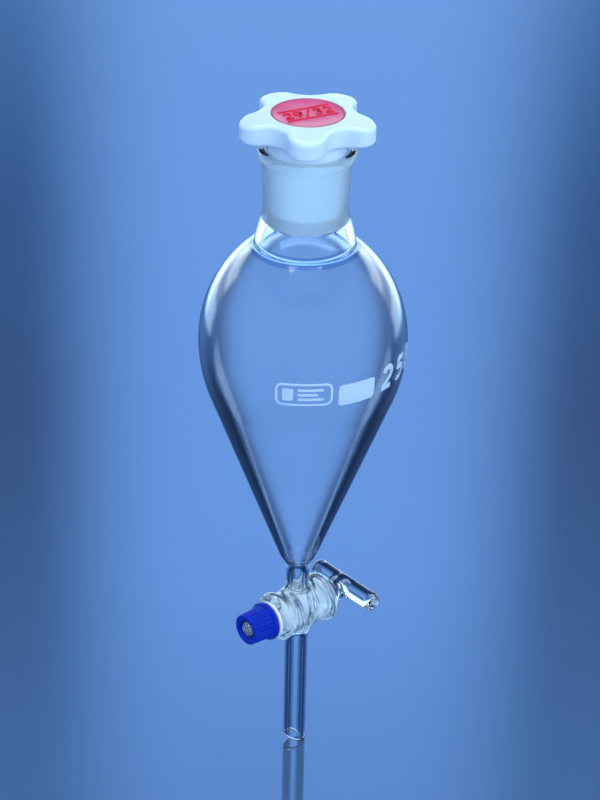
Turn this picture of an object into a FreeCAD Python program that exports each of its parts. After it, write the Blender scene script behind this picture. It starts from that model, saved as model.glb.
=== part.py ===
"""Separatory funnel, 250 ml pear shape, with a 29/32 stopper and a glass-key stopcock.

Frame: +Z up along the funnel's axis, origin at the lowest point of the drip stem's end.
The stopcock's key lies along X, with its nut at -X and its T-handle at +X.
All lengths are in millimetres.
"""

import FreeCAD
import Part
import math
import os

V = FreeCAD.Vector

# ---- heights along the funnel's axis ----
KEY_AXIS_Z = 66.0
DRIP_SEAL_Z = 50.0
BOWL_FOOT_Z = 80.0
BOWL_WIDEST_Z = 190.9
NECK_SEAL_Z = 231.7
SKIRT_TOP_Z = 248.6
RIM_Z = 271.0
STOPPER_HEAD_Z = 276.0
STOPPER_TOP_Z = 285.0

# ---- stem ----
STEM_R = 4.6
STEM_BORE_R = 3.0
ARM_R = 4.8
TIP_SLOPE = 0.39
TIP_LOW_SIDE_DEG = -41.0
TIP_POLISH = 0.35

# ---- bowl ----
BOWL_R = 40.5
BOWL_WALL = 1.9
SHOULDER_ARC_R = 50.5
BELLY_ARC_R = 65.0
CONE_DEG = 20.9
CONE_END_Z = 93.0
FOOT_TURN = (6.6, 90.9)
FOOT_END_Z = 85.4
INNER_FOOT_TURN = (4.3, 90.5)
INNER_FOOT_END_Z = 86.7

# ---- neck and its standard-taper socket ----
TAPER = 1.0 / 20.0
SOCKET_MOUTH_R = 14.6
SOCKET_MOUTH_Z = 270.0
SOCKET_FOOT_Z = 241.0
NECK_TOP_R = 16.8
NECK_FOOT_R = 16.1
BEAD_R = 18.7
BEAD_FOOT_Z = 267.9
BEAD_CONE_Z = 265.8
BEAD_ROUND = 0.9
SKIRT_DEG = 14.4
SKIRT_ARC_R = 20.0

# ---- stopper ----
STOPPER_FIT = 0.12
PLUG_FOOT_Z = 245.7
PLUG_WALL = 2.0
PLUG_ROOF_Z = 272.0
LOBES = 5
LOBE_R = 7.0
LOBE_CENTRE_R = 19.2
VALLEY_FLOOR_R = 18.0
FIRST_LOBE_DEG = 13.0
HEAD_ROUND = 1.6
HEAD_DROP = 1.7
HEAD_FLAT_R = 14.3
HEAD_OUTER_R = 26.4
DISC_R = 13.9
DISC_THICK = 1.6

# ---- stopcock barrel ----
BARREL_LEFT_X = -13.5
BARREL_RIGHT_X = 14.5
LEFT_COLLAR = (-11.2, 10.0)
RIGHT_COLLAR = (12.2, 10.3)
WAIST_R = 8.5
ARM_FLARE_R = 7.6
FLOW_R = 2.0

# ---- key ----
KEY_LARGE_R = 7.25
KEY_FIT = 0.07
KEY_SHOULDER_X = 17.5
KEY_SHOULDER_ROUND = 2.4
SHANK_R = 4.4
SHANK_END_X = 22.0
TAIL_R = 3.95
TAIL_END_X = -26.4
TAIL_CHAMFER = 0.6
HANDLE_X = 26.4
HANDLE_R = 4.0
HANDLE_LENGTH = 36.5
HANDLE_END_ROUND = 2.6

# ---- thread between the tail and the nut ----
THREAD_PITCH = 2.0
THREAD_DEPTH = 0.5
THREAD_BASE = 1.2
THREAD_CREST = 0.5
THREAD_ROOTING = 0.15
TAIL_THREAD_X = (-25.6, -15.6)
NUT_THREAD_X = (-26.6, -17.6)
NUT_THREAD_R = 4.2

# ---- washer, ring and nut on the key's tail ----
STACK_GAP = 0.1
WASHER_THICK = 1.0
WASHER_R = 7.4
TAIL_CLEARANCE = 0.3
RING_R = 5.15
RING_SECTION_R = 0.9
NUT_REAR_X = -15.6
NUT_FRONT_X = -27.2
NUT_FRONT_R = 6.5
NUT_NECK_R = 6.75
NUT_FLARE_R = 7.3
NUT_FLARE_WIDTH = 2.4
NUT_FLANGE_R = 8.0
NUT_FLANGE_WIDTH = 2.0
NUT_RIBS = 24
NUT_GROOVE_R = 0.42
NUT_EDGE = 0.5
RING_SEAT_R = 6.3


def point_rz(r, z):
    """A point of an outline that turns about the funnel's axis."""
    return V(r, 0, z)


def point_xr(x, r):
    """A point of an outline that turns about the key's axis."""
    return V(x, 0, KEY_AXIS_Z + r)


def line(a, b):
    return Part.LineSegment(a, b).toShape()


def arc(a, middle, b):
    return Part.Arc(a, middle, b).toShape()


def smooth_arc(a, heading, b):
    """The arc from a to b that leaves a along heading."""
    chord = b.sub(a)
    heading = V(heading).normalize()
    across = chord.sub(heading * chord.dot(heading))
    if across.Length < 1e-6:
        return line(a, b)
    across = V(across).normalize()
    radius = chord.dot(chord) / (2 * chord.dot(across))
    centre = a.add(across * radius)
    half = math.atan2(chord.dot(across), chord.dot(heading))
    middle = centre.sub(across * radius * math.cos(half)).add(heading * radius * math.sin(half))
    return Part.Arc(a, middle, b).toShape()


def turned(edges, centre, axis):
    """The solid that a closed outline sweeps in one full turn."""
    face = Part.Face(Part.Wire(edges))
    return face.revolve(centre, axis, 360)


def about_z(edges):
    return turned(edges, V(0, 0, 0), V(0, 0, 1))


def about_key(edges):
    return turned(edges, V(0, 0, KEY_AXIS_Z), V(1, 0, 0))


def ring_outline(points):
    """A closed outline of straight edges."""
    return [line(points[i - 1], points[i]) for i in range(len(points))]


def key_cylinder(radius, x0, x1):
    return Part.makeCylinder(radius, x1 - x0, V(x0, 0, KEY_AXIS_Z), V(1, 0, 0))


def key_cone(x0, x1, r0, r1):
    return Part.makeCone(r0, r1, x1 - x0, V(x0, 0, KEY_AXIS_Z), V(1, 0, 0))


def thread_ridge(root_r, side, span):
    """A right-handed ridge along the key's axis. side is +1 outward from root_r or -1 inward."""
    sunk = root_r - side * THREAD_ROOTING
    tip = root_r + side * THREAD_DEPTH
    base = THREAD_BASE / 2
    crest = THREAD_CREST / 2
    helix = Part.Wire(Part.makeHelix(THREAD_PITCH, span[1] - span[0], root_r))
    corners = [V(sunk, 0, -base), V(tip, 0, -crest), V(tip, 0, crest), V(sunk, 0, base)]
    ridge = helix.makePipeShell([Part.makePolygon(corners + corners[:1])], True, True)
    ridge.rotate(V(0, 0, 0), V(0, 1, 0), 90)
    ridge.translate(V(span[0], 0, KEY_AXIS_Z))
    return ridge


def socket_r(z):
    """Radius of the ground socket at height z."""
    return SOCKET_MOUTH_R - (SOCKET_MOUTH_Z - z) * TAPER


def key_r(x):
    """Radius of the key's ground cone at x."""
    return KEY_LARGE_R - (BARREL_RIGHT_X - x) * TAPER


def heading_down(degrees):
    """Direction of an outline that runs down and in, at an angle from the axis."""
    a = math.radians(degrees)
    return V(-math.sin(a), 0, -math.cos(a))


# ---- bowl outline, shared by its outer and inner walls ----
SHOULDER_CENTRE_R = BOWL_R - SHOULDER_ARC_R
BELLY_CENTRE_R = BOWL_R - BELLY_ARC_R


def shoulder_r(z, radius):
    """Radius of the shoulder arc of the given radius at height z."""
    return SHOULDER_CENTRE_R + math.sqrt(radius ** 2 - (z - BOWL_WIDEST_Z) ** 2)


def belly_point(degrees_down, radius):
    a = math.radians(degrees_down)
    return point_rz(BELLY_CENTRE_R + radius * math.cos(a), BOWL_WIDEST_Z - radius * math.sin(a))


def bowl_wall_edges(inset, foot_start, foot_turn, foot_end):
    """The wall's line from the neck seal down to the stem, inset from the outside."""
    shoulder_radius = SHOULDER_ARC_R - inset
    belly_radius = BELLY_ARC_R - inset
    top = point_rz(shoulder_r(NECK_SEAL_Z, shoulder_radius), NECK_SEAL_Z)
    half_z = (NECK_SEAL_Z + BOWL_WIDEST_Z) / 2
    upper_mid = point_rz(shoulder_r(half_z, shoulder_radius), half_z)
    widest = point_rz(BOWL_R - inset, BOWL_WIDEST_Z)
    belly_end = belly_point(CONE_DEG, belly_radius)
    turn = point_rz(*foot_turn)
    first = smooth_arc(foot_start, heading_down(CONE_DEG), turn)
    turn_heading = first.tangentAt(first.LastParameter)
    return [
        arc(top, upper_mid, widest),
        arc(widest, belly_point(CONE_DEG / 2, belly_radius), belly_end),
        line(belly_end, foot_start),
        first,
        smooth_arc(turn, turn_heading, foot_end),
    ]


def cone_point(z, inset):
    """A point of the cone's wall at height z."""
    start = belly_point(CONE_DEG, BELLY_ARC_R - inset)
    return point_rz(start.x - (start.z - z) * math.tan(math.radians(CONE_DEG)), z)


def make_bowl():
    outer_foot = point_rz(ARM_R, FOOT_END_Z)
    inner_foot = point_rz(STEM_BORE_R, INNER_FOOT_END_Z)
    outer = bowl_wall_edges(0, cone_point(CONE_END_Z, 0), FOOT_TURN, outer_foot)
    inner = bowl_wall_edges(BOWL_WALL, cone_point(CONE_END_Z, BOWL_WALL), INNER_FOOT_TURN, inner_foot)
    foot = [
        line(outer_foot, point_rz(ARM_R, BOWL_FOOT_Z)),
        line(point_rz(ARM_R, BOWL_FOOT_Z), point_rz(STEM_BORE_R, BOWL_FOOT_Z)),
        line(point_rz(STEM_BORE_R, BOWL_FOOT_Z), inner_foot),
    ]
    top = line(
        point_rz(shoulder_r(NECK_SEAL_Z, SHOULDER_ARC_R - BOWL_WALL), NECK_SEAL_Z),
        point_rz(shoulder_r(NECK_SEAL_Z, SHOULDER_ARC_R), NECK_SEAL_Z),
    )
    return about_z(outer + foot + inner[::-1] + [top])


def make_neck_socket():
    skirt = math.radians(SKIRT_DEG)
    seal_out = point_rz(shoulder_r(NECK_SEAL_Z, SHOULDER_ARC_R), NECK_SEAL_Z)
    seal_in = point_rz(shoulder_r(NECK_SEAL_Z, SHOULDER_ARC_R - BOWL_WALL), NECK_SEAL_Z)
    skirt_top = point_rz(NECK_FOOT_R, SKIRT_TOP_Z)
    curve_end = point_rz(
        NECK_FOOT_R + SKIRT_ARC_R * (1 - math.cos(skirt)),
        SKIRT_TOP_Z - SKIRT_ARC_R * math.sin(skirt),
    )
    neck_top = point_rz(NECK_TOP_R, BEAD_CONE_Z)
    bead_low = point_rz(BEAD_R, BEAD_FOOT_Z)
    bead_high = point_rz(BEAD_R, RIM_Z - BEAD_ROUND)
    rim_out = point_rz(BEAD_R - BEAD_ROUND, RIM_Z)
    diagonal = BEAD_ROUND * (1 - math.sqrt(0.5))
    bead_mid = point_rz(BEAD_R - diagonal, RIM_Z - diagonal)
    mouth_lip = point_rz(SOCKET_MOUTH_R + RIM_Z - SOCKET_MOUTH_Z, RIM_Z)
    mouth = point_rz(SOCKET_MOUTH_R, SOCKET_MOUTH_Z)
    socket_foot = point_rz(socket_r(SOCKET_FOOT_Z), SOCKET_FOOT_Z)
    return about_z([
        line(seal_out, curve_end),
        smooth_arc(skirt_top, V(0, 0, -1), curve_end),
        line(skirt_top, neck_top),
        line(neck_top, bead_low),
        line(bead_low, bead_high),
        arc(bead_high, bead_mid, rim_out),
        line(rim_out, mouth_lip),
        line(mouth_lip, mouth),
        line(mouth, socket_foot),
        line(socket_foot, seal_in),
        line(seal_in, seal_out),
    ])


def arm(seal_z, side):
    """One side arm of the barrel, which flares into it. side is +1 up or -1 down."""
    flare_z = KEY_AXIS_Z + side * (WAIST_R + 4.5)
    root_z = KEY_AXIS_Z + side * (WAIST_R - 2.5)
    points = [point_rz(0, seal_z), point_rz(ARM_R, seal_z), point_rz(ARM_R, flare_z)]
    root = point_rz(ARM_FLARE_R, root_z)
    return about_z([
        line(points[0], points[1]),
        line(points[1], points[2]),
        smooth_arc(points[2], V(0, 0, -side), root),
        line(root, point_rz(0, root_z)),
        line(point_rz(0, root_z), points[0]),
    ])


def flow_way(seal_z, side):
    """The way through an arm and the barrel's wall, with a tapered end."""
    neck_z = KEY_AXIS_Z + side * (WAIST_R + 1.5)
    wall_z = KEY_AXIS_Z + side * WAIST_R * 0.8
    end_z = KEY_AXIS_Z + side * WAIST_R * 0.5
    past_z = seal_z + side
    return about_z(ring_outline([
        point_rz(0, past_z),
        point_rz(STEM_BORE_R, past_z),
        point_rz(STEM_BORE_R, neck_z),
        point_rz(FLOW_R, wall_z),
        point_rz(FLOW_R, end_z),
        point_rz(0, end_z),
    ]))


def make_stopcock_barrel():
    left_end = point_xr(BARREL_LEFT_X, 8.0)
    left_top = point_xr(*LEFT_COLLAR)
    left_foot = point_xr(-6.6, WAIST_R + 0.25)
    waist_left = point_xr(-4.4, WAIST_R)
    waist_right = point_xr(4.6, WAIST_R)
    right_foot = point_xr(7.0, WAIST_R + 0.3)
    right_top = point_xr(*RIGHT_COLLAR)
    right_end = point_xr(BARREL_RIGHT_X, 8.4)
    along = V(1, 0, 0)
    shell = about_key([
        line(point_xr(BARREL_LEFT_X, 0), left_end),
        smooth_arc(left_top, V(-1, 0, 0), left_end),
        smooth_arc(left_top, along, left_foot),
        smooth_arc(waist_left, V(-1, 0, 0), left_foot),
        line(waist_left, waist_right),
        smooth_arc(waist_right, along, right_foot),
        smooth_arc(right_top, V(-1, 0, 0), right_foot),
        smooth_arc(right_top, along, right_end),
        line(right_end, point_xr(BARREL_RIGHT_X, 0)),
        line(point_xr(BARREL_RIGHT_X, 0), point_xr(BARREL_LEFT_X, 0)),
    ])
    solid = shell.fuse([arm(BOWL_FOOT_Z, 1), arm(DRIP_SEAL_Z, -1)])
    bore = key_cone(
        BARREL_LEFT_X - 1,
        BARREL_RIGHT_X + 1,
        key_r(BARREL_LEFT_X - 1) + KEY_FIT,
        key_r(BARREL_RIGHT_X + 1) + KEY_FIT,
    )
    return solid.cut([bore, flow_way(BOWL_FOOT_Z, 1), flow_way(DRIP_SEAL_Z, -1)])


def make_drip_stem():
    tube = Part.makeCylinder(STEM_R, DRIP_SEAL_Z)
    tip_depth = 2 * STEM_R * TIP_SLOPE
    side = 6 * STEM_R
    slope = math.degrees(math.atan(TIP_SLOPE))
    cutter = Part.makeBox(side, side, side, V(-side / 2, -side / 2, -side))
    cutter.rotate(V(0, 0, 0), V(0, 1, 0), slope)
    cutter.translate(V(0, 0, tip_depth / 2))
    cutter.rotate(V(0, 0, 0), V(0, 0, 1), TIP_LOW_SIDE_DEG)
    tube = tube.cut(cutter)
    tube = tube.cut(Part.makeCylinder(STEM_BORE_R, DRIP_SEAL_Z + 2, V(0, 0, -1)))
    tip_edges = [e for e in tube.Edges if e.BoundBox.ZMax < tip_depth + 1 and e.BoundBox.ZLength > 1]
    rims = [e for e in tip_edges if len(e.Vertexes) == 1]
    return tube.makeFillet(TIP_POLISH, rims)


def lobe_centre(i):
    a = math.radians(FIRST_LOBE_DEG + i * 360 / LOBES)
    return V(math.cos(a), math.sin(a), 0) * LOBE_CENTRE_R


def head_outline():
    """Five round lobes joined by round valleys that meet them smoothly."""
    half = math.pi / LOBES
    reach = (LOBE_CENTRE_R ** 2 - (VALLEY_FLOOR_R - LOBE_R) ** 2) / (
        2 * (LOBE_CENTRE_R * math.cos(half) - (VALLEY_FLOOR_R - LOBE_R))
    )
    valley_r = reach - VALLEY_FLOOR_R
    edges = []
    for i in range(LOBES):
        a = math.radians(FIRST_LOBE_DEG) + i * 2 * half
        lobe = lobe_centre(i)
        outward = V(math.cos(a), math.sin(a), 0)
        before = V(math.cos(a - half), math.sin(a - half), 0) * reach
        after = V(math.cos(a + half), math.sin(a + half), 0) * reach
        start = lobe.add(before.sub(lobe).normalize() * LOBE_R)
        end = lobe.add(after.sub(lobe).normalize() * LOBE_R)
        following = lobe_centre(i + 1)
        valley_end = following.add(after.sub(following).normalize() * LOBE_R)
        valley_floor = V(math.cos(a + half), math.sin(a + half), 0) * (reach - valley_r)
        edges.append(arc(start, lobe.add(outward * LOBE_R), end))
        edges.append(arc(end, valley_floor, valley_end))
    return edges


def on_head_outline(edge):
    return all(math.hypot(v.X, v.Y) > HEAD_FLAT_R + 1 for v in edge.Vertexes)


def make_stopper_body():
    head = Part.Face(Part.Wire(head_outline())).extrude(V(0, 0, STOPPER_TOP_Z - STOPPER_HEAD_Z))
    head.translate(V(0, 0, STOPPER_HEAD_Z))
    flat_end = point_rz(HEAD_FLAT_R, STOPPER_TOP_Z)
    dome_end = point_rz(HEAD_OUTER_R, STOPPER_TOP_Z - HEAD_DROP)
    outer_foot = point_rz(HEAD_OUTER_R, STOPPER_HEAD_Z - 1)
    dome = about_z([
        line(point_rz(0, STOPPER_TOP_Z), flat_end),
        smooth_arc(flat_end, V(1, 0, 0), dome_end),
        line(dome_end, outer_foot),
        line(outer_foot, point_rz(0, STOPPER_HEAD_Z - 1)),
        line(point_rz(0, STOPPER_HEAD_Z - 1), point_rz(0, STOPPER_TOP_Z)),
    ])
    head = head.common(dome)
    rims = [e for e in head.Edges if e.BoundBox.ZLength < HEAD_DROP and on_head_outline(e)]
    head = head.makeFillet(HEAD_ROUND, rims)
    foot_r = socket_r(PLUG_FOOT_Z) - STOPPER_FIT
    shank_r = SOCKET_MOUTH_R - STOPPER_FIT
    roof_r = shank_r - PLUG_WALL
    plug = about_z(ring_outline([
        point_rz(0, PLUG_FOOT_Z),
        point_rz(foot_r - 0.8, PLUG_FOOT_Z),
        point_rz(foot_r, PLUG_FOOT_Z + 0.8),
        point_rz(shank_r, SOCKET_MOUTH_Z),
        point_rz(shank_r, STOPPER_HEAD_Z - 1.2),
        point_rz(shank_r + 1.2, STOPPER_HEAD_Z + 0.1),
        point_rz(0, STOPPER_HEAD_Z + 0.1),
    ]))
    hollow = about_z(ring_outline([
        point_rz(0, PLUG_FOOT_Z - 1),
        point_rz(foot_r - PLUG_WALL, PLUG_FOOT_Z - 1),
        point_rz(roof_r, PLUG_ROOF_Z),
        point_rz(roof_r - 2, PLUG_ROOF_Z + 2),
        point_rz(0, PLUG_ROOF_Z + 2),
    ]))
    seat = Part.makeCylinder(DISC_R, DISC_THICK + 1, V(0, 0, STOPPER_TOP_Z - DISC_THICK))
    return head.fuse(plug).cut([hollow, seat]).removeSplitter()


def make_stopper_disc():
    disc = Part.makeCylinder(DISC_R, DISC_THICK, V(0, 0, STOPPER_TOP_Z - DISC_THICK))
    return disc.makeChamfer(0.2, [e for e in disc.Edges if e.BoundBox.ZMin > STOPPER_TOP_Z - 0.1])


def make_key_plug():
    shoulder = point_xr(KEY_SHOULDER_X - KEY_SHOULDER_ROUND, key_r(KEY_SHOULDER_X - KEY_SHOULDER_ROUND))
    shank_start = point_xr(KEY_SHOULDER_X + 1.0, SHANK_R)
    small_r = key_r(BARREL_LEFT_X)
    core_r = TAIL_R - THREAD_DEPTH
    plain_x = TAIL_THREAD_X[1] + THREAD_BASE / 2
    solid = about_key([
        line(point_xr(TAIL_END_X, 0), point_xr(TAIL_END_X, core_r - TAIL_CHAMFER)),
        line(point_xr(TAIL_END_X, core_r - TAIL_CHAMFER), point_xr(TAIL_END_X + TAIL_CHAMFER, core_r)),
        line(point_xr(TAIL_END_X + TAIL_CHAMFER, core_r), point_xr(plain_x - THREAD_DEPTH, core_r)),
        line(point_xr(plain_x - THREAD_DEPTH, core_r), point_xr(plain_x, TAIL_R)),
        line(point_xr(plain_x, TAIL_R), point_xr(BARREL_LEFT_X, TAIL_R)),
        line(point_xr(BARREL_LEFT_X, TAIL_R), point_xr(BARREL_LEFT_X, small_r - 0.3)),
        line(point_xr(BARREL_LEFT_X, small_r - 0.3), point_xr(BARREL_LEFT_X + 0.3, small_r)),
        line(point_xr(BARREL_LEFT_X + 0.3, small_r), shoulder),
        smooth_arc(shoulder, V(1, 0, TAPER), shank_start),
        line(shank_start, point_xr(SHANK_END_X, SHANK_R)),
        line(point_xr(SHANK_END_X, SHANK_R), point_xr(SHANK_END_X, 0)),
        line(point_xr(SHANK_END_X, 0), point_xr(TAIL_END_X, 0)),
    ])
    way = Part.makeCylinder(FLOW_R, 4 * KEY_LARGE_R, V(0, -2 * KEY_LARGE_R, KEY_AXIS_Z), V(0, 1, 0))
    return solid.cut(way).fuse(thread_ridge(core_r, 1, TAIL_THREAD_X))


def make_key_handle():
    bar = Part.makeCylinder(
        HANDLE_R,
        HANDLE_LENGTH,
        V(HANDLE_X, -HANDLE_LENGTH / 2, KEY_AXIS_Z),
        V(0, 1, 0),
    )
    bar = bar.makeFillet(HANDLE_END_ROUND, [e for e in bar.Edges if e.BoundBox.YLength < 0.1])
    neck_x = HANDLE_X - HANDLE_R + 0.9
    neck = about_key([
        line(point_xr(SHANK_END_X, 0), point_xr(SHANK_END_X, SHANK_R)),
        smooth_arc(point_xr(SHANK_END_X, SHANK_R), V(1, 0, -0.4), point_xr(neck_x, 3.6)),
        line(point_xr(neck_x, 3.6), point_xr(HANDLE_X, 3.4)),
        line(point_xr(HANDLE_X, 3.4), point_xr(HANDLE_X, 0)),
        line(point_xr(HANDLE_X, 0), point_xr(SHANK_END_X, 0)),
    ])
    return bar.fuse(neck).removeSplitter()


def make_thrust_washer():
    right = BARREL_LEFT_X - STACK_GAP
    washer = key_cylinder(WASHER_R, right - WASHER_THICK, right)
    return washer.cut(key_cylinder(TAIL_R + TAIL_CLEARANCE, right - 2 * WASHER_THICK, right + 1))


def ring_x():
    """Centre of the O-ring along the key, where it rests on the washer."""
    return BARREL_LEFT_X - STACK_GAP - WASHER_THICK - RING_SECTION_R


def make_seal_ring():
    return Part.makeTorus(RING_R, RING_SECTION_R, V(ring_x(), 0, KEY_AXIS_Z), V(1, 0, 0))


def make_retaining_nut():
    flange_x = NUT_REAR_X - NUT_FLANGE_WIDTH
    hole_r = NUT_THREAD_R
    seat_x = ring_x() - RING_SECTION_R - STACK_GAP
    flare_start = point_xr(flange_x - NUT_FLARE_WIDTH, NUT_NECK_R)
    along_body = flare_start.sub(point_xr(NUT_FRONT_X + NUT_EDGE, NUT_FRONT_R))
    body = about_key([
        line(point_xr(NUT_FRONT_X, hole_r), point_xr(NUT_FRONT_X, NUT_FRONT_R - NUT_EDGE)),
        smooth_arc(
            point_xr(NUT_FRONT_X, NUT_FRONT_R - NUT_EDGE),
            V(0, 0, 1),
            point_xr(NUT_FRONT_X + NUT_EDGE, NUT_FRONT_R),
        ),
        line(point_xr(NUT_FRONT_X + NUT_EDGE, NUT_FRONT_R), flare_start),
        smooth_arc(flare_start, along_body, point_xr(flange_x, NUT_FLARE_R)),
        line(point_xr(flange_x, NUT_FLARE_R), point_xr(flange_x, NUT_FLANGE_R - NUT_EDGE)),
        line(point_xr(flange_x, NUT_FLANGE_R - NUT_EDGE), point_xr(flange_x + NUT_EDGE, NUT_FLANGE_R)),
        line(point_xr(flange_x + NUT_EDGE, NUT_FLANGE_R), point_xr(NUT_REAR_X - NUT_EDGE, NUT_FLANGE_R)),
        line(point_xr(NUT_REAR_X - NUT_EDGE, NUT_FLANGE_R), point_xr(NUT_REAR_X, NUT_FLANGE_R - NUT_EDGE)),
        line(point_xr(NUT_REAR_X, NUT_FLANGE_R - NUT_EDGE), point_xr(NUT_REAR_X, RING_SEAT_R)),
        line(point_xr(NUT_REAR_X, RING_SEAT_R), point_xr(seat_x, RING_SEAT_R)),
        line(point_xr(seat_x, RING_SEAT_R), point_xr(seat_x, hole_r)),
        line(point_xr(seat_x, hole_r), point_xr(NUT_FRONT_X, hole_r)),
    ])
    grooves = []
    for i in range(NUT_RIBS):
        a = 2 * math.pi * i / NUT_RIBS
        out = NUT_FRONT_R + 0.15
        start = V(NUT_FRONT_X - 1, out * math.cos(a), KEY_AXIS_Z + out * math.sin(a))
        grooves.append(Part.makeCylinder(NUT_GROOVE_R, flange_x - NUT_FRONT_X + 0.4, start, V(1, 0, 0)))
    return body.cut(grooves).fuse(thread_ridge(NUT_THREAD_R, -1, NUT_THREAD_X))


PIECES = {
    "neck_socket": make_neck_socket,
    "bowl": make_bowl,
    "stopcock_barrel": make_stopcock_barrel,
    "drip_stem": make_drip_stem,
    "stopper_body": make_stopper_body,
    "stopper_disc": make_stopper_disc,
    "key_plug": make_key_plug,
    "key_handle": make_key_handle,
    "thrust_washer": make_thrust_washer,
    "seal_ring": make_seal_ring,
    "retaining_nut": make_retaining_nut,
}

os.makedirs("parts", exist_ok=True)
for name, make in PIECES.items():
    solid = make()
    if solid.ShapeType != "Solid" and len(solid.Solids) == 1:
        solid = solid.Solids[0]
    box = solid.BoundBox
    print(f"{name:16} valid {solid.isValid()} solids {len(solid.Solids)} volume {solid.Volume:9.1f} mm3 "
          f"z {box.ZMin:.2f} to {box.ZMax:.2f}")
    solid.exportStep(f"parts/{name}.step")
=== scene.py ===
"""Looks of the 250 ml separatory funnel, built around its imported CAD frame.

Shapes are worked in millimetres in the part's own frame, and scaled to metres when a mesh is made.
"""
import math

import bmesh
import bpy
import numpy as np
import openvdb
from mathutils import Matrix, Vector


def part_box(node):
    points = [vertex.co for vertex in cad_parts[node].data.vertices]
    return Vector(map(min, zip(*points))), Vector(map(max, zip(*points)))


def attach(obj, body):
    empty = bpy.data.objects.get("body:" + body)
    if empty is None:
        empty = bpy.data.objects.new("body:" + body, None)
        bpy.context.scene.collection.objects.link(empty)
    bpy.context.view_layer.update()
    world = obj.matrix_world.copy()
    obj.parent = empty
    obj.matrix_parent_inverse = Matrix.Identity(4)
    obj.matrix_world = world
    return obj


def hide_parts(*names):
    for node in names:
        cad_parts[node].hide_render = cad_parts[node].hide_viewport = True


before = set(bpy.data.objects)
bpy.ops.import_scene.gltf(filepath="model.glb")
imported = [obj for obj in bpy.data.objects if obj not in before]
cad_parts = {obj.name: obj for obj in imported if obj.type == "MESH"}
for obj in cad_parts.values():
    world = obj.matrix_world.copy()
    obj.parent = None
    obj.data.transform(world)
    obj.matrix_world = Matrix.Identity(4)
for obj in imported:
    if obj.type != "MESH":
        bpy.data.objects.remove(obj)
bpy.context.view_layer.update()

MM = 0.001
TAU = 2 * math.pi


def node_mm(name):
    """A CAD node's lowest and highest corners, in millimetres."""
    low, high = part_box(name)
    return np.array(low) / MM, np.array(high) / MM


SOCKET_LOW, SOCKET_HIGH = node_mm("neck_socket")
BARREL_LOW, BARREL_HIGH = node_mm("stopcock_barrel")
STOPPER_LOW, STOPPER_HIGH = node_mm("stopper_body")
HANDLE_LOW, HANDLE_HIGH = node_mm("key_handle")
WASHER_LOW, WASHER_HIGH = node_mm("thrust_washer")
RING_LOW, RING_HIGH = node_mm("seal_ring")
NUT_LOW, NUT_HIGH = node_mm("retaining_nut")

BOWL_R = node_mm("bowl")[1][0]
TAIL_END_X = node_mm("key_plug")[0][0]
KEY_Z = (HANDLE_LOW[2] + HANDLE_HIGH[2]) / 2
RIM_Z = SOCKET_HIGH[2]
STOPPER_TOP_Z = STOPPER_HIGH[2]

# glass body; a pair is a radius and a height
STEM_R = 4.6
STEM_BORE_R = 3.0
TIP_SLOPE = 0.39
TIP_LOW_SIDE = math.radians(-41)
TIP_ROUND = 0.5
TIP_FADE_Z = 30.0
BOWL_WIDEST_Z = 190.9
WALL = 1.9
SHOULDER_ARC_R = 50.5
BELLY_ARC_R = 65.0
CONE = math.radians(20.9)
CONE_END_Z = 93.0
FOOT_TURN = (6.6, 90.9)
FOOT_END_Z = 85.4
INNER_FOOT_TURN = (4.3, 90.5)
INNER_FOOT_END_Z = 86.7
NECK_SEAL_Z = SOCKET_LOW[2]
SKIRT_TOP_Z = 248.6
SKIRT = math.radians(14.4)
SKIRT_ARC_R = 20.0
TAPER = 1 / 20
SOCKET_MOUTH_R = 14.6
MOUTH_BEVEL = 1.0
SOCKET_FOOT_Z = 241.0
NECK_TOP = (16.8, RIM_Z - 5.2)
NECK_FOOT_R = 16.1
BEAD_R = 18.7
BEAD_FOOT_Z = RIM_Z - 3.1
BEAD_ROUND = 1.3
SEAL_HALF = 1.3
UPPER_CUT_Z = KEY_Z + 16.0
LOWER_CUT_Z = KEY_Z - 16.0

# stopcock barrel; a collar is its place along the key, how far it stands out and how long it is
WAIST_R = 8.5
COLLARS = [(-11.1, 1.75, 3.1), (12.1, 2.0, 3.3)]
BARREL_END_ROUND = 2.2
BARREL_HALF_DEPTH = 13
ARM_FLARE = 1.1
ARM_FLARE_START = 8
ARM_FLARE_FADE = 2.4
ARM_FILLET = 4.5
ARM_FILLET_FADE = (12, 15)
WAY_WIDENS = (7, 10)
BORE_EDGE = 0.35
WORKED_HALF = 11.5
WORKED_ARM_R = 5.6
LAPPED_HALF = 9
SKIN = 0.3

# key; a span is two places along its axis
KEY_LARGE_R = 7.25
KEY_FIT = 0.07
KEY_EDGE_ROUND = 0.3
FLOW_R = 2.0
PLUG_END_X = 17.5
PLUG_END_ROUND = 2.6
TAIL_R = 3.95
TAIL_ROOT_X = -8
TAIL_ROOT_FADE = (-15.4, -14.9)
TAIL_END_ROUND = 0.8
SHANK_R = 4.4
SHANK_MIDDLE_X = 21.5
SHANK_HALF = 4.9
SHANK_FILLET = 2.4
HANDLE_R = 4.0
HANDLE_X = HANDLE_HIGH[0] - HANDLE_R
HANDLE_HALF = HANDLE_HIGH[1]
HANDLE_END_ROUND = 3.2
HANDLE_FILLET = 2.2
THREAD_PITCH = 2.0
THREAD_DEPTH = 0.5
TAIL_THREAD = (-25.6, -15.6)

# nut
NUT_THREAD = (-26.6, -17.6)
NUT_BORE_R = 4.2
NUT_MOUTH_R = 4.9
NUT_BEVEL = 0.7
RING_SEAT_R = 6.3
RIBS = 24
RIB_DEPTH = 0.42
GRIP_R = 6.5
GRIP_ROUND = 0.6
GRIP_BACK_R = 6.78
GRIP_SLOPE = 0.25 / 7
FLARE_R = 7.35
FLANGE_FRONT_R = 7.6
FLANGE_ROUND = 0.4

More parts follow.
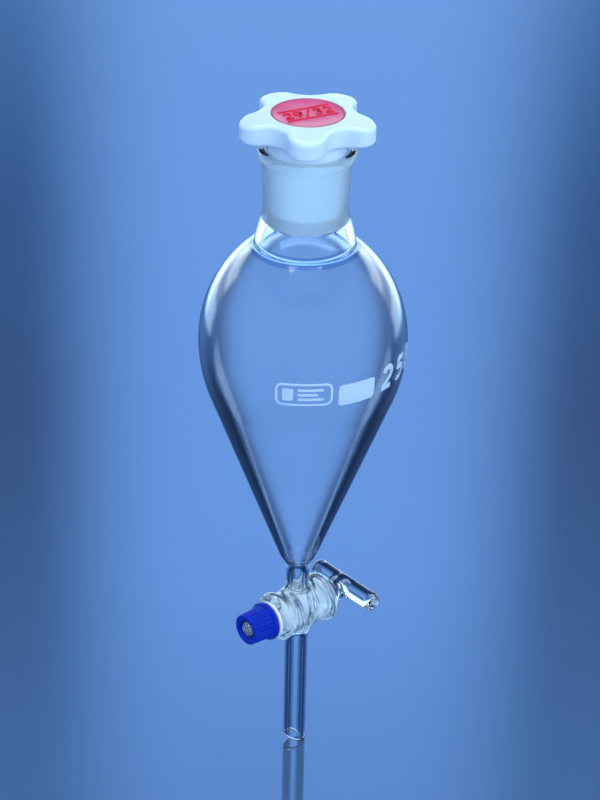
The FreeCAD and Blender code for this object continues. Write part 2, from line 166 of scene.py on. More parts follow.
# stopper
LOBES = 5
LOBE_R = 7.0
LOBE_CENTRE_R = 19.2
VALLEY_FLOOR_R = 18.0
FIRST_LOBE = math.radians(13)
HEAD_FOOT_Z = STOPPER_TOP_Z - 9.0
HEAD_DROP = 1.7
HEAD_FLAT_R = 14.3
HEAD_OUTER_R = 26.4
HEAD_EDGE_ROUND = 1.7
PLUG_WALL = 2.0
PLUG_ROOF_R = 9.5
STOPPER_FIT = 0.12
DISC_R = 13.9
DISC_RIM_R = DISC_R - 1.1
DISC_DEPTH = 1.1
DISC_FACE_Z = STOPPER_TOP_Z - 0.3
DISC_LIP = 0.15
SEAT_EDGE = 0.3

# marks; their turns are to the right of FACING, the direction of the camera
FACING = math.radians(229)
LABEL_TURN = math.radians(1.3)
LABEL_Z = 187.8
LABEL_BLOCK_SHIFT = -6.2
SPOT_TURN = math.radians(31.5)
SPOT_Z = 186.4
NUMBER_TURN = math.radians(67)
NUMBER_Z = 187.6
NUMERAL_WIDTH = 0.62
ENAMEL_SPAN = (-0.02, 0.005)
DISC_MARK_TURN = math.radians(-14)
DISC_MARK_SPAN = (-0.2, 0.28)
DISC_BAR_SPAN = (-0.2, 0.24)


# ---------------------------------------------------------------- outlines
def tangent_arc(a, heading, b, count):
    """Points after a, up to b, on the arc that leaves a along heading."""
    a, b = np.array(a, float), np.array(b, float)
    u = np.array(heading, float)
    u /= np.linalg.norm(u)
    chord = b - a
    n = np.array([-u[1], u[0]])
    if chord @ n < 0:
        n = -n
    side = chord @ n
    steps = np.arange(1, count + 1) / count
    if side < 1e-9:
        return [a + chord * s for s in steps]
    radius = (chord @ chord) / (2 * side)
    sweep = 2 * math.atan2(side, chord @ u)
    return [a + radius * (n * (1 - math.cos(sweep * s)) + u * math.sin(sweep * s)) for s in steps]


def end_heading(points):
    return points[-1] - points[-2]


def smooth_outline(points, spacing, rounds):
    """An outline resampled at an even spacing, with its corners softened as by a flame."""
    points = np.array(points, float)
    lengths = np.concatenate([[0], np.cumsum(np.linalg.norm(np.diff(points, axis=0), axis=1))])
    count = int(lengths[-1] / spacing)
    at = np.linspace(0, lengths[-1], count + 1)
    even = np.stack([np.interp(at, lengths, points[:, k]) for k in (0, 1)], axis=1)
    for _ in range(rounds):
        even[1:-1] = 0.25 * even[:-2] + 0.5 * even[1:-1] + 0.25 * even[2:]
    return even


def shoulder_point(z, inset):
    centre = BOWL_R - SHOULDER_ARC_R
    return (centre + math.sqrt((SHOULDER_ARC_R - inset) ** 2 - (z - BOWL_WIDEST_Z) ** 2), z)


def belly_point(angle, inset):
    centre = BOWL_R - BELLY_ARC_R
    radius = BELLY_ARC_R - inset
    return (centre + radius * math.cos(angle), BOWL_WIDEST_Z - radius * math.sin(angle))


def bowl_outline(inset, turn, foot, count=60):
    """The bowl's wall from the neck seal down to the stem, inset from its outside."""
    heights = np.linspace(NECK_SEAL_Z, BOWL_WIDEST_Z, count)
    points = [np.array(shoulder_point(z, inset)) for z in heights]
    points += [np.array(belly_point(a, inset)) for a in np.linspace(0, CONE, count // 2)[1:]]
    start = points[-1]
    down = np.array([-math.sin(CONE), -math.cos(CONE)])
    cone_end = start + down * (start[1] - CONE_END_Z) / math.cos(CONE)
    points += [start + (cone_end - start) * s for s in np.linspace(0, 1, count)[1:]]
    points += tangent_arc(cone_end, down, turn, 12)
    points += tangent_arc(points[-1], end_heading(points), foot, 14)
    return points


def funnel_outline():
    """Outer wall from the barrel's upper arm to the rim, then the inner wall back down."""
    foot = [np.array([STEM_R, UPPER_CUT_Z])]
    outer_bowl = bowl_outline(0, FOOT_TURN, (STEM_R, FOOT_END_Z))[::-1]
    skirt_top = np.array([NECK_FOOT_R, SKIRT_TOP_Z])
    curve_end = skirt_top + SKIRT_ARC_R * np.array([1 - math.cos(SKIRT), -math.sin(SKIRT)])
    curve = tangent_arc(skirt_top, (0, -1), curve_end, 10)[::-1]
    neck = [skirt_top, np.array(NECK_TOP)]
    neck += [np.array([BEAD_R, z]) for z in (BEAD_FOOT_Z, RIM_Z - BEAD_ROUND)]
    neck += tangent_arc(neck[-1], (0, 1), (BEAD_R - BEAD_ROUND, RIM_Z), 8)
    mouth_z = RIM_Z - MOUTH_BEVEL
    inside = [
        np.array([SOCKET_MOUTH_R + MOUTH_BEVEL, RIM_Z]),
        np.array([SOCKET_MOUTH_R, mouth_z]),
        np.array([SOCKET_MOUTH_R - (mouth_z - SOCKET_FOOT_Z) * TAPER, SOCKET_FOOT_Z]),
    ]
    inner_bowl = bowl_outline(WALL, INNER_FOOT_TURN, (STEM_BORE_R, INNER_FOOT_END_Z))
    last = [np.array([STEM_BORE_R, UPPER_CUT_Z])]
    whole = foot + outer_bowl + curve + neck + inside + inner_bowl + last
    return smooth_outline(whole, spacing=0.35, rounds=2)


# ---------------------------------------------------------------- meshes
def rings_mesh(rings, closed=False):
    """Vertices and quads of rings that all have the same number of points."""
    rings = np.array(rings)
    count, around = rings.shape[:2]
    verts = rings.reshape(-1, 3)
    j = np.arange(around)
    faces = []
    for i in range(count if closed else count - 1):
        low, high = i * around, ((i + 1) % count) * around
        after = (j + 1) % around
        faces.append(np.stack([low + j, low + after, high + after, high + j], axis=1))
    return verts, np.concatenate(faces)


def cap(verts, faces, ring_start, around):
    """Closes a ring with a fan to its centre."""
    centre = verts[ring_start:ring_start + around].mean(axis=0)
    index = len(verts)
    verts = np.vstack([verts, centre])
    j = np.arange(around)
    fan = np.stack([ring_start + j, ring_start + (j + 1) % around, np.full(around, index)], axis=1)
    return verts, [list(f) for f in faces] + [list(f) for f in fan]


def circle(around, turn=0.0):
    a = np.arange(around) / around * TAU + turn
    return np.cos(a), np.sin(a)


def turn_about_z(outline, around):
    """Rings of an outline of (radius, z) about the funnel's axis."""
    c, s = circle(around)
    return [np.stack([r * c, r * s, np.full(around, z)], axis=1) for r, z in outline]


def turn_about_key(outline, around):
    """Rings of an outline of (x, radius) about the key's axis."""
    c, s = circle(around)
    return [np.stack([np.full(around, x), r * c, KEY_Z + r * s], axis=1) for x, r in outline]


def make_object(name, verts, faces, smooth=True):
    mesh = bpy.data.meshes.new(name)
    mesh.from_pydata((np.array(verts) * MM).tolist(), [], [list(map(int, f)) for f in faces])
    bm = bmesh.new()
    bm.from_mesh(mesh)
    bmesh.ops.recalc_face_normals(bm, faces=bm.faces)
    bm.to_mesh(mesh)
    bm.free()
    mesh.validate()
    if smooth:
        mesh.polygons.foreach_set("use_smooth", np.ones(len(mesh.polygons), bool))
    obj = bpy.data.objects.new(name, mesh)
    bpy.context.scene.collection.objects.link(obj)
    return obj


def smooth_min(a, b, k):
    h = np.clip(0.5 + 0.5 * (b - a) / k, 0, 1)
    return b * (1 - h) + a * h - k * h * (1 - h)


def smooth_max(a, b, k):
    return -smooth_min(-a, -b, k)


def smooth_step(low, high, x):
    t = np.clip((x - low) / (high - low), 0, 1)
    return t * t * (3 - 2 * t)


def field_mesh(field, low, high, voxel):
    """The surface where field is 0, as vertices and faces, each vertex drawn exactly onto it."""
    axes = [np.arange(a, b + voxel, voxel) for a, b in zip(low, high)]
    grid_points = np.stack(np.meshgrid(*axes, indexing="ij"), axis=-1)
    values = field(grid_points[..., 0], grid_points[..., 1], grid_points[..., 2]).astype(np.float32)
    grid = openvdb.FloatGrid(background=3 * voxel)
    grid.copyFromArray(np.ascontiguousarray(values))
    points, quads = grid.convertToQuads(isovalue=0.0)
    points = np.array(low) + np.array(points, float) * voxel
    step = 0.02
    for _ in range(4):
        value = field(*points.T)
        slope = np.stack([
            (field(*(points + step * e).T) - field(*(points - step * e).T)) / (2 * step)
            for e in np.eye(3)
        ], axis=1)
        move = slope * (value / np.maximum((slope ** 2).sum(axis=1), 0.05))[:, None]
        length = np.linalg.norm(move, axis=1, keepdims=True)
        points -= move * np.minimum(1, 0.5 * voxel / np.maximum(length, 1e-9))
    return points, quads


def key_r(x):
    return KEY_LARGE_R - (BARREL_HIGH[0] - x) * TAPER


# ---------------------------------------------------------------- glass funnel
def barrel_field(x, y, z):
    """Signed distance, near enough, to the stopcock barrel with its two arms."""
    h = z - KEY_Z
    rho = np.hypot(y, h)
    centre = (BARREL_LOW[0] + BARREL_HIGH[0]) / 2
    half = (BARREL_HIGH[0] - BARREL_LOW[0]) / 2
    radius = WAIST_R
    for place, rise, length in COLLARS:
        radius = radius + rise * np.exp(-((x - place) / length) ** 2)
    shell = smooth_max(rho - radius, np.abs(x - centre) - half, BARREL_END_ROUND)
    off_axis = np.hypot(x, y)
    flare = ARM_FLARE * np.exp(-np.maximum(np.abs(h) - ARM_FLARE_START, 0) / ARM_FLARE_FADE)
    fillet = ARM_FILLET * (1 - smooth_step(*ARM_FILLET_FADE, np.abs(h))) + 0.01
    outside = smooth_min(shell, off_axis - (STEM_R + flare), fillet)
    way = off_axis - (FLOW_R + (STEM_BORE_R - FLOW_R) * smooth_step(*WAY_WIDENS, np.abs(h)))
    bore = np.minimum(rho - key_r(x) - KEY_FIT, way)
    return smooth_max(outside, -bore, BORE_EDGE)


def zip_rings(verts, first, second):
    """Triangles between two rings of vertex indices about the funnel's axis."""
    angles = [np.mod(np.arctan2(verts[r, 1], verts[r, 0]), TAU) for r in (first, second)]
    rings = [np.array(r)[np.argsort(a)] for r, a in zip((first, second), angles)]
    angles = [np.sort(a) for a in angles]
    faces, i, j = [], 0, 0
    n, m = len(rings[0]), len(rings[1])
    while i < n or j < m:
        next_a = angles[0][(i + 1) % n] + TAU * ((i + 1) // n)
        next_b = angles[1][(j + 1) % m] + TAU * ((j + 1) // m)
        a, b = rings[0][i % n], rings[1][j % m]
        if j >= m or (i < n and next_a <= next_b):
            faces.append([a, b, rings[0][(i + 1) % n]])
            i += 1
        else:
            faces.append([a, b, rings[1][(j + 1) % m]])
            j += 1
    return faces


def trimmed_barrel():
    """The barrel's surface, cut level at the two arms."""
    margin, trim = 1.5, 0.5
    low = (BARREL_LOW[0] - margin, -BARREL_HALF_DEPTH, LOWER_CUT_Z - margin)
    high = (BARREL_HIGH[0] + margin, BARREL_HALF_DEPTH, UPPER_CUT_Z + margin)
    points, quads = field_mesh(barrel_field, low, high, voxel=0.35)
    bm = bmesh.new()
    made = [bm.verts.new(p) for p in points]
    for q in quads:
        bm.faces.new([made[k] for k in q])
    for height, up in ((UPPER_CUT_Z - trim, 1), (LOWER_CUT_Z + trim, -1)):
        bmesh.ops.bisect_plane(
            bm, geom=bm.verts[:] + bm.edges[:] + bm.faces[:], dist=1e-4,
            plane_co=(0, 0, height), plane_no=(0, 0, up), clear_outer=True,
        )
    bmesh.ops.remove_doubles(bm, verts=bm.verts[:], dist=0.01)
    bm.verts.index_update()
    verts = np.array([v.co for v in bm.verts])
    faces = [[v.index for v in f.verts] for f in bm.faces]
    edge_verts = sorted({v.index for e in bm.edges if e.is_boundary for v in e.verts})
    bm.free()
    return verts, faces, np.array(edge_verts)


def stem_rings(around):
    """The drip stem, down its outside from the barrel's arm, round its bevelled tip and up its bore."""
    c, s = circle(around)
    top = LOWER_CUT_Z
    lip_outer, lip_inner = STEM_R - TIP_ROUND, STEM_BORE_R + TIP_ROUND
    outline = [(STEM_R, z) for z in np.linspace(top, TIP_ROUND, 90)]
    outline += [tuple(p) for p in tangent_arc((STEM_R, TIP_ROUND), (0, -1), (lip_outer, 0), 6)]
    outline += [((lip_outer + lip_inner) / 2, 0), (lip_inner, 0)]
    outline += [tuple(p) for p in tangent_arc((lip_inner, 0), (-1, 0), (STEM_BORE_R, TIP_ROUND), 6)]
    outline += [(STEM_BORE_R, z) for z in np.linspace(TIP_ROUND, top, 90)[1:]]
    low_side = np.array([math.cos(TIP_LOW_SIDE), math.sin(TIP_LOW_SIDE)])
    rings = []
    for r, z in outline:
        reach = STEM_R - r * (c * low_side[0] + s * low_side[1])
        lift = TIP_SLOPE * reach * (1 - smooth_step(0, TIP_FADE_Z, z))
        rings.append(np.stack([r * c, r * s, z + lift], axis=1))
    return rings


def make_glass_funnel():
    """The fused funnel: the bowl with its neck and the stem, turned, joined by the barrel."""
    around = 160
    middle = (STEM_R + STEM_BORE_R) / 2
    parts = [rings_mesh(turn_about_z(funnel_outline(), around)), rings_mesh(stem_rings(around))]
    verts, faces, open_edge = trimmed_barrel()
    for part_verts, part_faces in parts:
        start = len(verts)
        verts = np.vstack([verts, part_verts])
        faces += (part_faces + start).tolist()
        first_ring = start + np.arange(around)
        last_ring = first_ring + len(part_verts) - around
        level = verts[first_ring[0], 2]
        near = open_edge[np.abs(verts[open_edge, 2] - level) < 2]
        radius = np.hypot(verts[near, 0], verts[near, 1])
        faces += zip_rings(verts, near[radius > middle], first_ring)
        faces += zip_rings(verts, near[radius < middle], last_ring)
    return make_object("glass_funnel", verts, faces)


def slot_faces(obj, tests):
    """Gives a slot to the faces whose centres, in millimetres, pass its test. A later test wins."""
    mesh = obj.data
    centres = np.zeros(len(mesh.polygons) * 3)
    mesh.polygons.foreach_get("center", centres)
    x, y, z = (centres.reshape(-1, 3) / MM).T
    index = np.zeros(len(mesh.polygons), np.int32)
    for slot, test in tests.items():
        index[test(x, y, z)] = slot
    mesh.polygons.foreach_set("material_index", index)


# ---------------------------------------------------------------- stopcock key
def thread_height(x, angle, start, span):
    """Height of a right-handed ridge at a place along and around the key's axis, from 0 to 1."""
    along = (x - start) / THREAD_PITCH - angle / TAU
    off = np.abs(along - np.round(along)) * THREAD_PITCH
    ridge = np.clip((0.6 - off) / 0.35, 0, 1)
    fade_in = smooth_step(span[0] - 0.6, span[0] + 0.4, x)
    fade_out = 1 - smooth_step(span[1] - 0.4, span[1] + 0.6, x)
    return ridge * (fade_in * fade_out)


def key_angle(y, h):
    """Angle about the key's axis, from +Z towards -Y, as a right-handed thread along +X turns."""
    return np.arctan2(-y, h)


def key_field(x, y, z):
    """Signed distance, near enough, to the key with its threaded tail and T-handle."""
    h = z - KEY_Z
    rho = np.hypot(y, h)
    plug = smooth_max(rho - key_r(x), x - PLUG_END_X, PLUG_END_ROUND)
    plug = smooth_max(plug, BARREL_LOW[0] - x, 0.4)
    shank = smooth_max(rho - SHANK_R, np.abs(x - SHANK_MIDDLE_X) - SHANK_HALF, KEY_EDGE_ROUND)
    handle = smooth_max(
        np.hypot(x - HANDLE_X, h) - HANDLE_R, np.abs(y) - HANDLE_HALF, HANDLE_END_ROUND)
    body = smooth_min(smooth_min(plug, shank, SHANK_FILLET), handle, HANDLE_FILLET)
    root = smooth_step(*TAIL_ROOT_FADE, x) * THREAD_DEPTH
    ridge = thread_height(x, key_angle(y, h), TAIL_THREAD[0], TAIL_THREAD) * THREAD_DEPTH
    tail = rho - (TAIL_R - THREAD_DEPTH) - np.maximum(root, ridge)
    tail = smooth_max(tail, TAIL_END_X - x, TAIL_END_ROUND)
    tail = np.maximum(tail, x - TAIL_ROOT_X)
    body = smooth_min(body, tail, KEY_EDGE_ROUND)
    way = np.hypot(x, h) - FLOW_R
    return smooth_max(body, -way, KEY_EDGE_ROUND)


def make_stopcock_key():
    margin, reach = 1, 9
    low = (TAIL_END_X - margin, HANDLE_LOW[1] - margin, KEY_Z - reach)
    high = (HANDLE_HIGH[0] + margin, HANDLE_HIGH[1] + margin, KEY_Z + reach)
    verts, faces = field_mesh(key_field, low, high, voxel=0.3)
    return make_object("stopcock_key", verts, faces)


# ---------------------------------------------------------------- washer, ring, nut
def make_washer():
    x0, x1 = WASHER_LOW[0], WASHER_HIGH[0]
    outer, inner, edge = WASHER_HIGH[1], TAIL_R + 0.3, 0.2
    outline = [
        (x0, inner + edge), (x0, outer - edge), (x0 + edge, outer), (x1 - edge, outer),
        (x1, outer - edge), (x1, inner + edge), (x1 - edge, inner), (x0 + edge, inner),
    ]
    verts, faces = rings_mesh(turn_about_key(outline, 96), closed=True)
    return make_object("ptfe_washer", verts, faces)


def make_ring():
    section = (RING_HIGH[0] - RING_LOW[0]) / 2
    middle_x = (RING_HIGH[0] + RING_LOW[0]) / 2
    middle_r = RING_HIGH[1] - section
    c, s = circle(24)
    outline = np.stack([middle_x + section * c, middle_r + section * s], axis=1)
    verts, faces = rings_mesh(turn_about_key(outline, 96), closed=True)
    return make_object("o_ring", verts, faces)


def make_nut():
    """Ribbed grip, smooth flange, seat for the ring and a threaded bore."""
    around = 384
    front, rear = NUT_LOW[0], NUT_HIGH[0]
    flange, flange_r = rear - 2.0, NUT_HIGH[1]
    grip_end = flange - 2.4
    seat_x = RING_LOW[0] - 0.1
    outline = [(front, NUT_MOUTH_R, 0), (front, GRIP_R - GRIP_ROUND, 0)]

    def arc(a, heading, b, count, share):
        return [(x, r, share) for x, r in tangent_arc(a, heading, b, count)]

    outline += arc((front, GRIP_R - GRIP_ROUND), (0, 1), (front + GRIP_ROUND, GRIP_R), 5, 0.3)
    grip = np.linspace(front + 1.0, grip_end, 18)
    outline += [(x, GRIP_R + GRIP_SLOPE * (x - front), 1) for x in grip]
    outline += arc((grip_end, GRIP_BACK_R), (1, 0.03), (flange - 0.2, FLARE_R), 8, 1)
    outline += [(flange - 0.05, FLARE_R + 0.1, 0.3), (flange, FLANGE_FRONT_R, 0)]
    outline += arc((flange, FLANGE_FRONT_R), (0, 1), (flange + FLANGE_ROUND, flange_r), 5, 0)
    outline += arc((rear - FLANGE_ROUND, flange_r), (1, 0), (rear, flange_r - FLANGE_ROUND), 5, 0)
    outline += [(rear, RING_SEAT_R + 0.15, 0), (rear - 0.15, RING_SEAT_R, 0)]
    outline += [(seat_x, RING_SEAT_R, 0), (seat_x, NUT_MOUTH_R, 0)]
    c, s = circle(around)
    rib = 0.5 + 0.5 * np.cos(np.arange(around) / around * TAU * RIBS)
    groove = RIB_DEPTH * (1 - rib ** 0.6)

    def ring_at(x, radius):
        return np.stack([np.full(around, x), radius * c, KEY_Z + radius * s], axis=1)

    rings = [ring_at(x, r - share * groove) for x, r, share in outline]
    angle = key_angle(c, s)
    for x in np.arange(seat_x - 0.3, front + 0.2, -0.16):
        lead = NUT_BORE_R + NUT_BEVEL * (1 - smooth_step(front, front + NUT_BEVEL, x))
        ridge = THREAD_DEPTH * thread_height(x, angle, NUT_THREAD[0], NUT_THREAD)
        rings.append(ring_at(x, lead - ridge))
    verts, faces = rings_mesh(rings, closed=True)
    return make_object("ribbed_nut", verts, faces)


# ---------------------------------------------------------------- stopper
def star_r(angle, inset):
    """Radius of the five-lobed outline, drawn in by inset, at an angle."""
    half = math.pi / LOBES
    gap = VALLEY_FLOOR_R - LOBE_R
    reach = (LOBE_CENTRE_R ** 2 - gap ** 2) / (2 * (LOBE_CENTRE_R * math.cos(half) - gap))
    lobe = LOBE_R - inset
    valley = reach - VALLEY_FLOOR_R + inset
    off = np.abs(np.mod(angle - FIRST_LOBE + half, 2 * half) - half)
    valley_centre = reach * np.array([math.cos(half), math.sin(half)])
    toward = valley_centre - np.array([LOBE_CENTRE_R, 0])
    meet = np.array([LOBE_CENTRE_R, 0]) + toward / np.linalg.norm(toward) * lobe
    switch = math.atan2(meet[1], meet[0])
    on_lobe = LOBE_CENTRE_R * np.cos(off) + np.sqrt(
        np.maximum(lobe ** 2 - (LOBE_CENTRE_R * np.sin(off)) ** 2, 0))
    on_valley = reach * np.cos(half - off) - np.sqrt(
        np.maximum(valley ** 2 - (reach * np.sin(half - off)) ** 2, 0))
    return np.where(off < switch, on_lobe, on_valley)


def head_top(r):
    """Height of the head's gently domed top at a radius."""
    reach = HEAD_OUTER_R - HEAD_FLAT_R
    dome_r = (reach ** 2 + HEAD_DROP ** 2) / (2 * HEAD_DROP)
    return STOPPER_TOP_Z - dome_r + np.sqrt(dome_r ** 2 - np.clip(r - HEAD_FLAT_R, 0, reach) ** 2)


def make_stopper():
    """A plug that is hollow and open below, with a domed five-lobed head and a seat for the disc."""
    around = 360
    c, s = circle(around)
    angle = np.arange(around) / around * TAU
    foot_z, mouth_z = STOPPER_LOW[2], RIM_Z - MOUTH_BEVEL
    shank_r = SOCKET_MOUTH_R - STOPPER_FIT
    foot_r = shank_r - (mouth_z - foot_z) * TAPER
    inner_r, inner_foot_r, lip_r = shank_r - PLUG_WALL, foot_r - PLUG_WALL, foot_r - PLUG_WALL / 2
    roof_foot_z, roof_z = mouth_z + 1.0, mouth_z + 3.8
    lip, fillet, rounding = 1.0, 1.2, HEAD_EDGE_ROUND
    seat_r, seat_z = DISC_R + 0.05, STOPPER_TOP_Z - 1.5

    def round_ring(r, z):
        return np.stack([r * c, r * s, np.full(around, z)], axis=1)

    def round_arc(a, heading, b, count):
        return [round_ring(r, z) for r, z in tangent_arc(a, heading, b, count)]

    def round_line(a, b, count):
        a, b = np.array(a), np.array(b)
        return [round_ring(*(a + (b - a) * t)) for t in np.linspace(0, 1, count)[1:]]

    def star_ring(inset, z):
        r = star_r(angle, inset)
        return np.stack([r * c, r * s, np.zeros(around) + z], axis=1)

    def domed(r):
        return np.stack([r * c, r * s, head_top(r)], axis=1)

    rings = [round_ring(1.0, roof_z), round_ring(PLUG_ROOF_R, roof_z)]
    rings += round_arc((PLUG_ROOF_R, roof_z), (1, 0), (inner_r, roof_foot_z), 8)
    rings += round_line((inner_r, roof_foot_z), (inner_foot_r, foot_z + lip), 20)
    rings += round_arc((inner_foot_r, foot_z + lip), (0, -1), (lip_r, foot_z), 6)
    rings += round_arc((lip_r, foot_z), (1, 0), (foot_r, foot_z + lip), 6)
    rings += round_line((foot_r, foot_z + lip), (shank_r, mouth_z), 30)
    rings += round_line((shank_r, mouth_z), (shank_r, HEAD_FOOT_Z - fillet), 8)
    rings += round_arc((shank_r, HEAD_FOOT_Z - fillet), (0, 1), (shank_r + fillet, HEAD_FOOT_Z), 6)
    start = rings[-1]
    edge = star_ring(rounding, HEAD_FOOT_Z)
    rings += [start + (edge - start) * t for t in np.linspace(0, 1, 12)[1:]]
    turns = np.linspace(0, math.pi / 2, 10)[1:]
    for a in turns:
        rings.append(star_ring(rounding * (1 - math.sin(a)), HEAD_FOOT_Z + rounding * (1 - math.cos(a))))
    low_side, high_side = HEAD_FOOT_Z + rounding, head_top(star_r(angle, 0)) - rounding
    rings += [star_ring(0, low_side + (high_side - low_side) * t) for t in np.linspace(0, 1, 6)[1:]]
    for a in turns:
        inset = rounding * (1 - math.cos(a))
        rings.append(star_ring(inset, head_top(star_r(angle, inset)) - rounding * (1 - math.sin(a))))
    brow = star_r(angle, rounding)
    seat_brow = seat_r + SEAT_EDGE
    rings += [domed(brow + (seat_brow - brow) * t) for t in np.linspace(0, 1, 14)[1:]]
    rings += round_arc((seat_brow, STOPPER_TOP_Z), (-1, 0), (seat_r, STOPPER_TOP_Z - SEAT_EDGE), 4)
    rings += [round_ring(seat_r, seat_z), round_ring(1.0, seat_z)]
    verts, faces = rings_mesh(rings)
    verts, faces = cap(verts, faces, 0, around)
    verts, faces = cap(verts, faces, len(rings) * around - around, around)
    return make_object("stopper", verts, faces)


def make_disc():
    """A shallow dish with a raised lip."""
    around = 128
    top, side = DISC_FACE_Z, DISC_R - 0.1
    lip_top = top + DISC_LIP
    outline = [(1.0, top - DISC_DEPTH), (side, top - DISC_DEPTH), (side, top - 0.1)]
    outline += [tuple(p) for p in tangent_arc((side, top - 0.1), (0, 1), (side - 0.35, lip_top), 5)]
    outline += [(side - 0.9, lip_top), (side - 1.15, top), (8.0, top), (1.0, top)]
    verts, faces = rings_mesh(turn_about_z(outline, around))
    verts, faces = cap(verts, faces, 0, around)
    verts, faces = cap(verts, faces, len(outline) * around - around, around)
    return make_object("red_disc", verts, faces)


# ---------------------------------------------------------------- marks
def bend(x, y, rx, ry, start, end, count=16):
    """Part of an ellipse about (x, y), between two angles in degrees."""
    a = np.radians(np.linspace(start, end, count))
    return np.stack([x + rx * np.cos(a), y + ry * np.sin(a)], axis=1)


def straight(*points):
    """A line through the points, close enough spaced to wrap round a curve."""
    points = np.array(points, float)
    lengths = np.concatenate([[0], np.cumsum(np.linalg.norm(np.diff(points, axis=0), axis=1))])
    at = np.linspace(0, lengths[-1], 12)
    return np.stack([np.interp(at, lengths, points[:, k]) for k in (0, 1)], axis=1)


# centre lines of plain numerals, each NUMERAL_WIDTH wide and 1 high
NUMERALS = {
    "0": [bend(0.31, 0.5, 0.26, 0.42, 0, 360, 40)],
    "2": [np.vstack([bend(0.30, 0.68, 0.24, 0.24, 165, -38), straight((0.47, 0.50), (0.10, 0.14))]),
          straight((0.02, 0.08), (0.60, 0.08))],
    "3": [bend(0.28, 0.72, 0.24, 0.20, 150, -90), bend(0.28, 0.30, 0.26, 0.22, 90, -150)],
    "5": [straight((0.12, 0.92), (0.56, 0.92)), straight((0.13, 0.98), (0.10, 0.50)),
          bend(0.28, 0.34, 0.26, 0.26, 130, -140)],
    "9": [bend(0.31, 0.68, 0.24, 0.24, 0, 360, 32),
          np.vstack([straight((0.55, 0.68), (0.52, 0.42)), straight((0.50, 0.36), (0.26, 0.06))])],
    "/": [straight((0.08, -0.04), (0.54, 1.04))],
}


def stroke(path, width, place, low, high, closed=False):
    """A flat band along a path, as vertices and faces. place turns (u, v, height) into a point."""
    path = np.array(path, float)
    if closed:
        ahead = np.roll(path, -1, axis=0) - np.roll(path, 1, axis=0)
    else:
        ahead = np.gradient(path, axis=0)
    ahead /= np.linalg.norm(ahead, axis=1, keepdims=True)
    side = np.stack([-ahead[:, 1], ahead[:, 0]], axis=1) * width / 2
    loops = []
    for p, d in zip(path, side):
        corners = ((p + d, low), (p + d, high), (p - d, high), (p - d, low))
        loops.append([place(q[0], q[1], h) for q, h in corners])
    verts, faces = rings_mesh(loops, closed)
    faces = faces.tolist()
    if not closed:
        last = len(verts) - 4
        faces += [[0, 1, 2, 3], [last, last + 1, last + 2, last + 3]]
    return verts, faces


def patch(width, height, corner, place, low, high):
    """A filled rectangle with rounded corners, laid on a surface."""
    near_end = width / 2 - corner * 0.08
    columns = np.sort([*np.linspace(-width / 2, width / 2, 41), -near_end, near_end])
    past = np.clip(np.abs(columns) - (width / 2 - corner), 0, corner)
    half = height / 2 - corner + np.sqrt(corner ** 2 - past ** 2)
    rows = np.linspace(-1, 1, 9)
    top = np.array([[place(u, h * t, high) for t in rows] for u, h in zip(columns, half)])
    under = np.array([[place(u, h * t, low) for t in rows] for u, h in zip(columns, half)])
    loops = np.concatenate([top, under[:, ::-1]], axis=1)
    verts, faces = rings_mesh(loops)
    around = loops.shape[1]
    faces = faces.tolist() + [list(range(around)), list(range(len(verts) - around, len(verts)))]
    return verts, faces


def rounded_frame(width, height, corner):
    """The outline of a rectangle with rounded corners, close enough spaced to wrap round a curve."""
    x, y = width / 2 - corner, height / 2 - corner
    points = []
    for cx, cy, start in ((x, y, 0), (-x, y, 90), (-x, -y, 180), (x, -y, 270)):
        points += list(bend(cx, cy, corner, corner, start, start + 90, 8))
    dense = []
    for a, b in zip(points, points[1:] + points[:1]):
        steps = max(int(math.dist(a, b)), 1)
        dense += [a + (b - a) * k / steps for k in range(steps)]
    return dense


def numerals(text, height, pitch, width, slant):
    """Strokes of a number centred on (0, 0)."""
    total = pitch * (len(text) - 1) + NUMERAL_WIDTH * height
    strokes = []
    for i, letter in enumerate(text):
        for line in NUMERALS[letter]:
            points = np.array(line) * height
            points[:, 0] += i * pitch - total / 2 + slant * (points[:, 1] - height / 2)
            points[:, 1] -= height / 2
            strokes.append((points, width))
    return strokes


def joined(name, parts):
    verts, faces, start = [], [], 0
    for part_verts, part_faces in parts:
        verts.append(np.array(part_verts))
        faces += [[k + start for k in face] for face in part_faces]
        start += len(part_verts)
    return make_object(name, np.vstack(verts), faces, smooth=False)


def on_bowl(turn, height):
    """Places marks on the bowl's outside, centred at a turn to the right of FACING."""
    def place(u, v, lift):
        angle = FACING + turn + u / BOWL_R
        r = belly_r(height + v) + lift
        return (r * math.cos(angle), r * math.sin(angle), height + v)
    return place


def belly_r(z):
    centre = BOWL_R - BELLY_ARC_R
    return centre + math.sqrt(BELLY_ARC_R ** 2 - (BOWL_WIDEST_Z - z) ** 2)


def make_bowl_marks():
    """A plain framed label, a writing spot and the capacity."""
    label = on_bowl(LABEL_TURN, LABEL_Z)
    parts = [stroke(rounded_frame(21.2, 8.8, 2.4), 0.9, label, *ENAMEL_SPAN, closed=True)]
    for v, left, right in ((2.0, -2.4, 7.4), (0.0, -2.4, 5.2), (-2.0, -2.4, 7.4)):
        parts.append(stroke(straight((left, v), (right, v)), 1.1, label, *ENAMEL_SPAN))
    block = on_bowl(LABEL_TURN + LABEL_BLOCK_SHIFT / BOWL_R, LABEL_Z)
    parts.append(patch(4.2, 5.2, 0.8, block, *ENAMEL_SPAN))
    parts.append(patch(15.8, 9.0, 1.4, on_bowl(SPOT_TURN, SPOT_Z), *ENAMEL_SPAN))
    number = on_bowl(NUMBER_TURN, NUMBER_Z)
    for points, width in numerals("250", height=10.0, pitch=9.6, width=2.2, slant=0.12):
        parts.append(stroke(points, width, number, *ENAMEL_SPAN))
    return joined("bowl_marks", parts)


